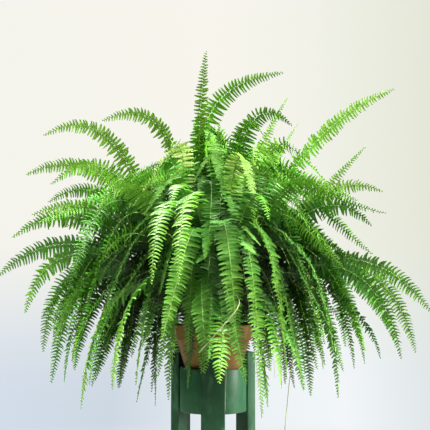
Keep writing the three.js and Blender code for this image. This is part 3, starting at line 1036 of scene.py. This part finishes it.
def crownFinish():
    finish = Finish("crown_fibre")
    hair = finish.noise(120.0, 4.0, 0.6, (1, 1, 0.15))
    cloud = finish.noise(30.0, 3.0)
    color = finish.ramp(hair * 0.7 + cloud * 0.3, [
        (0.30, (0.018, 0.010, 0.006)), (0.52, (0.085, 0.047, 0.022)), (0.75, (0.230, 0.150, 0.075)),
    ])
    shader = finish.surface(
        Base_Color=color, Roughness=0.93, Specular_IOR_Level=0.2,
        Normal=finish.bump(hair, 0.0015, 0.8),
    )
    return finish.show(shader)


def fillPot():
    # the soil and the crown draw from one row of random numbers
    rng = np.random.default_rng(soilForm["seed"])
    makeSoil(soilForm, soilFinish(), rng)
    makeCrown(crownForm, soilForm["around"], crownFinish(), rng)


fillPot()
print("soil and crown laid")

standForm = {
    "bandWall": 0.008,
    "bandEdge": 0.0022,
    "legWidth": 0.072,
    "legThickness": 0.030,
    "legEdge": 0.004,
    # how far in and how far from the end the loops that round a leg's ends lie
    "legInsets": [0.0035, 0.0012, 0.0002, 0],
    "legLifts": [0, 0.0004, 0.0016, 0.004],
    "shelfDrain": 0.014,
    "shelfEdge": 0.0012,
}
legPaint = {
    "base": (0.025, 0.120, 0.047),
    "deep": (0.009, 0.052, 0.020),
    # the colour of the lighter patches: worn paint and painted reflection
    "light": (0.090, 0.230, 0.120),
    "stretch": (1, 1, 0.04),
}
hoopPaint = {
    "base": (0.027, 0.145, 0.055),
    "deep": (0.014, 0.082, 0.032),
    # the colour of the lighter patches: worn paint and painted reflection
    "light": (0.060, 0.220, 0.100),
    "stretch": (0.3, 0.3, 1),
}


def woodPaint(name, look):
    # brushed gloss paint on board: grain and brush marks are drawn out by the stretch, and lighter
    # patches are paint worn thin in places and also painted reflections of the fronds in the gloss
    finish = Finish(name)
    cloud = finish.noise(5.0, 4.0, 0.6)
    wearAndSheen = finish.noise(24.0, 5.0, 0.62, (1, 1, 0.4))
    grain = finish.noise(90.0, 4.0, 0.6, look["stretch"])
    color = finish.mix(finish.between(cloud, 0.35, 0.68), look["deep"], look["base"])
    # the lighter patches: worn paint, and a painted reflection of the fronds
    color = finish.mix(finish.between(wearAndSheen, 0.52, 0.72) * 0.62, color, look["light"])
    color = finish.mix(finish.between(grain, 0.52, 0.72) * 0.30, color, look["deep"])
    roughness = 0.42 + finish.between(wearAndSheen, 0.45, 0.75) * 0.20
    shader = finish.surface(
        Base_Color=color, Roughness=roughness, Coat_Weight=0.08, Coat_Roughness=0.25,
        Specular_IOR_Level=0.35, Normal=finish.bump(grain + cloud * 0.6, 0.00035, 0.5),
    )
    return finish.show(shader)


def boardOutline(width, depth, edge):
    # an oblong round its own middle with rounded corners
    x, y = width / 2, depth / 2
    return roundedOutline([(-x, -y), (x, -y), (x, y), (-x, y)], [edge] * 4, 6)


def flatRing(inner, outer, low, high, edge, segments):
    # an oblong outline from the inner to the outer radius, swept round the axis
    corners = [(inner, low), (outer, low), (outer, high), (inner, high)]
    return turnedRing(roundedOutline(corners, [edge] * 4), segments)


def makeHoop(form, material):
    radius, low, high = ringSize("band")
    ring = flatRing(radius - form["bandWall"], radius, low, high, form["bandEdge"], 192)
    band = meshPiece("stand_hoop", [ring], material)
    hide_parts("band")


def makeShelf(form, material):
    radius, low, high = ringSize("shelf")
    ring = flatRing(form["shelfDrain"], radius, low, high, form["shelfEdge"], 128)
    shelf = meshPiece("stand_shelf", [ring], material)
    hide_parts("shelf")


def makeLeg(name, form, material):
    # a stack of board outlines turned to the leg's heading, drawn in at both ends
    low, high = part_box(name)
    centre = [(low[a] + high[a]) / 2 for a in (0, 1)]
    heading = math.atan2(centre[0], -centre[1])
    insets = form["legInsets"] + form["legInsets"][::-1]
    levels = [low[2] + lift for lift in form["legLifts"]]
    levels += [high[2] - lift for lift in form["legLifts"][::-1]]
    loops = []
    for inset, z in zip(insets, levels):
        flat = boardOutline(
            form["legWidth"] - 2 * inset, form["legThickness"] - 2 * inset, form["legEdge"],
        )
        x = centre[0] + flat[:, 0] * math.cos(heading) - flat[:, 1] * math.sin(heading)
        y = centre[1] + flat[:, 0] * math.sin(heading) + flat[:, 1] * math.cos(heading)
        loops.append(np.stack([x, y, np.full(len(flat), z)], axis=1))
    leg = meshPiece("stand_" + name, [stackedLoops(np.array(loops))], material)
    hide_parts(name)


def screwFinish():
    steel = Finish("screw_steel")
    wear = steel.noise(400.0, 3.0)
    return steel.show(steel.surface(
        Base_Color=(0.42, 0.42, 0.43), Metallic=1.0, Roughness=0.28 + wear * 0.2,
    ))


def repaint(start, material):
    # the finish of the frame's own nodes whose names start so
    for name in cadNodes:
        if name.startswith(start):
            cadNodes[name].data.materials.clear()
            cadNodes[name].data.materials.append(material)


def makeStand(form):
    paint = woodPaint("green_paint", legPaint)
    hoop = woodPaint("green_paint_hoop", hoopPaint)
    makeHoop(form, hoop)
    makeShelf(form, hoop)
    for name in sorted(name for name in cadNodes if name.startswith("leg_")):
        makeLeg(name, form, paint)
    repaint("screw_", screwFinish())


makeStand(standForm)
print("stand built")


def runnerFinish():
    finish = Finish("runner_stem")
    cloud = finish.noise(60.0, 3.0)
    color = finish.ramp(cloud, [(0.3, (0.26, 0.29, 0.12)), (0.7, (0.46, 0.46, 0.26))])
    return finish.show(finish.surface(Base_Color=color, Roughness=0.6))


# slack bare runners between the front fronds: heading, reach, arch top, tip height, drift
threads = {
    "seatRadius": 0.06,
    "leave": 66,
    "land": 80,
    "footRadius": 0.0006,
    "tipRadius": 0.0004,
    "rows": 60,
    "runners": [
        (11, 0.335, 0.86, 0.434, -0.03),
        (15, 0.350, 0.90, 0.500, 0.04),
        (-30, 0.330, 0.88, 0.560, 0.06),
        (128, 0.300, 0.84, 0.470, 0.05),
        (-150, 0.320, 0.86, 0.500, -0.05),
    ],
}


def growThreads(threads, material):
    radius = np.linspace(threads["footRadius"], threads["tipRadius"], threads["rows"])
    waiting = []
    for heading, reach, top, low, drift in threads["runners"]:
        seat = seatAt(heading, threads["seatRadius"])
        path = pathFromArch(
            seat, heading, reach, top, low, threads["leave"], threads["land"], drift, np.zeros(2),
        )
        found = rowsAt(path, np.linspace(0, 1, threads["rows"]))
        waiting.append(tubeAlong(found["place"], found["side"], found["face"], radius, 0.5))
    meshPiece("bare_runners", withoutValues(waiting), material)


def makeRunners():
    material = runnerFinish()
    growThreads(threads, material)
    repaint("runner_", material)


makeRunners()
print("runners hung")

studio = {
    "floorRadius": 2.6,
    "floorDrop": 0.0006,
    "floorColor": (0.31, 0.31, 0.305),
    # the backdrop's colours from left to right, in an upper and a lower row: painted light and
    # shade on a plain wall, with a painted shadow darkening the lower row on the left
    "upperRow": [
        (0.00, (0.913, 0.905, 0.839)), (0.50, (0.93, 0.913, 0.839)),
        (0.72, (0.888, 0.888, 0.807)), (1.00, (0.776, 0.799, 0.687)),
    ],
    "lowerRow": [
        (0.00, (0.651, 0.723, 0.815)), (0.26, (0.617, 0.687, 0.768)),
        (0.60, (0.839, 0.888, 0.913)), (0.80, (0.888, 0.922, 0.947)),
        (1.00, (0.745, 0.799, 0.815)),
    ],
    # parts of a direction of length one: half the backdrop's width, the heights between which
    # its rows blend, and those between which it turns to the plain low sky
    "backdropHalf": 0.206,
    "rowBlend": (-0.13, 0.05),
    "lowBlend": (-0.17, -0.45),
    "lowSky": (0.80, 0.82, 0.83),
    "skyStrength": (0.0, 0.24),
    "lightAim": (0, 0, 0.85),
    # name, place, width across, power in watts and colour
    "lights": [
        ("key", (2.8, -1.9, 3.8), 1.5, 490, (1.0, 0.985, 0.95)),
        ("front", (0.9, -3.6, 3.4), 1.2, 75, (1.0, 0.99, 0.96)),
        ("back", (-1.4, 2.4, 3.2), 2.0, 150, (1.0, 1.0, 0.96)),
        ("left", (-2.0, 0.2, 4.0), 1.6, 275, (1.0, 1.0, 0.97)),
        ("side", (2.8, -0.5, 0.75), 0.7, 72, (1.0, 0.99, 0.95)),
    ],
}


def makeFloor(studio):
    # a flat disc of rings at the radius times the cosine and sine of the turn, whose finish
    # fades to nothing with the distance from its middle
    around = 96
    turn = np.arange(around) * 2 * math.pi / around
    radii = np.array([0.01, 0.5, 1.0, 1.6, 2.1, studio["floorRadius"]])[:, None]
    x, y = radii * np.cos(turn), radii * np.sin(turn)
    points = np.stack([x, y, np.full_like(x, -studio["floorDrop"])], axis=2)
    mesh = bpy.data.meshes.new("floor")
    row = np.arange(len(radii) - 1)[:, None] * around
    a = row + np.arange(around)[None]
    b = row + (np.arange(around)[None] + 1) % around
    quads = np.stack([a, a + around, b + around, b], axis=2).reshape(-1, 4)
    faces = quads.tolist() + [list(range(around))]
    mesh.from_pydata(points.reshape(-1, 3).tolist(), [], faces)
    mesh.update()
    finish = Finish("floor")
    place = finish.node("ShaderNodeTexCoord").outputs["Object"]
    away = finish.node("ShaderNodeVectorMath", {"operation": "LENGTH"}, {0: place})
    fade = finish.between(
        away.outputs["Value"], studio["floorRadius"] * 0.5, studio["floorRadius"] * 0.98,
    )
    matte = finish.surface(Base_Color=studio["floorColor"], Roughness=0.9, Specular_IOR_Level=0.1)
    clear = finish.node("ShaderNodeBsdfTransparent")
    faded = finish.node("ShaderNodeMixShader", None, {
        0: fade, 1: matte.outputs[0], 2: clear.outputs[0],
    })
    mesh.materials.append(finish.show(faded))
    floor = bpy.data.objects.new("floor", mesh)
    bpy.context.scene.collection.objects.link(floor)


def makeSky(studio):
    # the camera sees the backdrop: the upper and the lower row of colours, each changing from left
    # to right, blended by height and turning to one plain colour well below the horizon; its
    # changes are painted light and shade, and the blue-grey at the lower left is a painted shadow
    sky = Finish("studio", "worlds", "ShaderNodeOutputWorld")
    bpy.context.scene.world = sky.owner
    place = sky.node("ShaderNodeTexCoord").outputs["Generated"]
    parts = sky.node("ShaderNodeSeparateXYZ", None, {"Vector": place})
    x, z = parts.outputs["X"], parts.outputs["Z"]
    half = studio["backdropHalf"]
    across = sky.node("ShaderNodeMapRange", None, {"Value": x, "From Min": -half, "From Max": half})
    upper = sky.ramp(across.outputs[0], studio["upperRow"])
    # the lower row darkens to blue-grey on the left, a painted shadow on the wall
    lower = sky.ramp(across.outputs[0], studio["lowerRow"])
    rows = sky.mix(sky.between(z, *studio["rowBlend"]), lower, upper)
    start, end = studio["lowBlend"]
    below = sky.node("ShaderNodeMapRange", None, {"Value": z, "From Min": start, "From Max": end})
    backdrop = sky.mix(below.outputs[0], rows, studio["lowSky"])
    seen = sky.node("ShaderNodeBackground", None, {"Color": backdrop})
    # a plain white sky, brighter on the right, lights the scene
    dim, bright = studio["skyStrength"]
    strength = sky.node("ShaderNodeMapRange", None, {
        "Value": x, "From Min": -1.0, "From Max": 1.0, "To Min": dim, "To Max": bright,
    })
    lit = sky.node("ShaderNodeBackground", None, {
        "Color": (1.0, 1.0, 1.0), "Strength": strength.outputs[0],
    })
    ray = sky.node("ShaderNodeLightPath").outputs["Is Camera Ray"]
    sky.show(sky.node("ShaderNodeMixShader", None, {0: ray, 1: lit.outputs[0], 2: seen.outputs[0]}))


def makeLights(studio):
    for name, place, size, power, color in studio["lights"]:
        data = bpy.data.lights.new(name, "AREA")
        data.shape = "DISK"
        data.size = size
        data.energy = power
        data.color = color
        light = bpy.data.objects.new(name, data)
        bpy.context.scene.collection.objects.link(light)
        light.location = place
        aim = Vector(studio["lightAim"]) - Vector(place)
        light.rotation_euler = aim.to_track_quat("-Z", "Y").to_euler()


makeFloor(studio)
makeSky(studio)
makeLights(studio)
bpy.context.scene.view_settings.view_transform = "Standard"
print("studio lit")
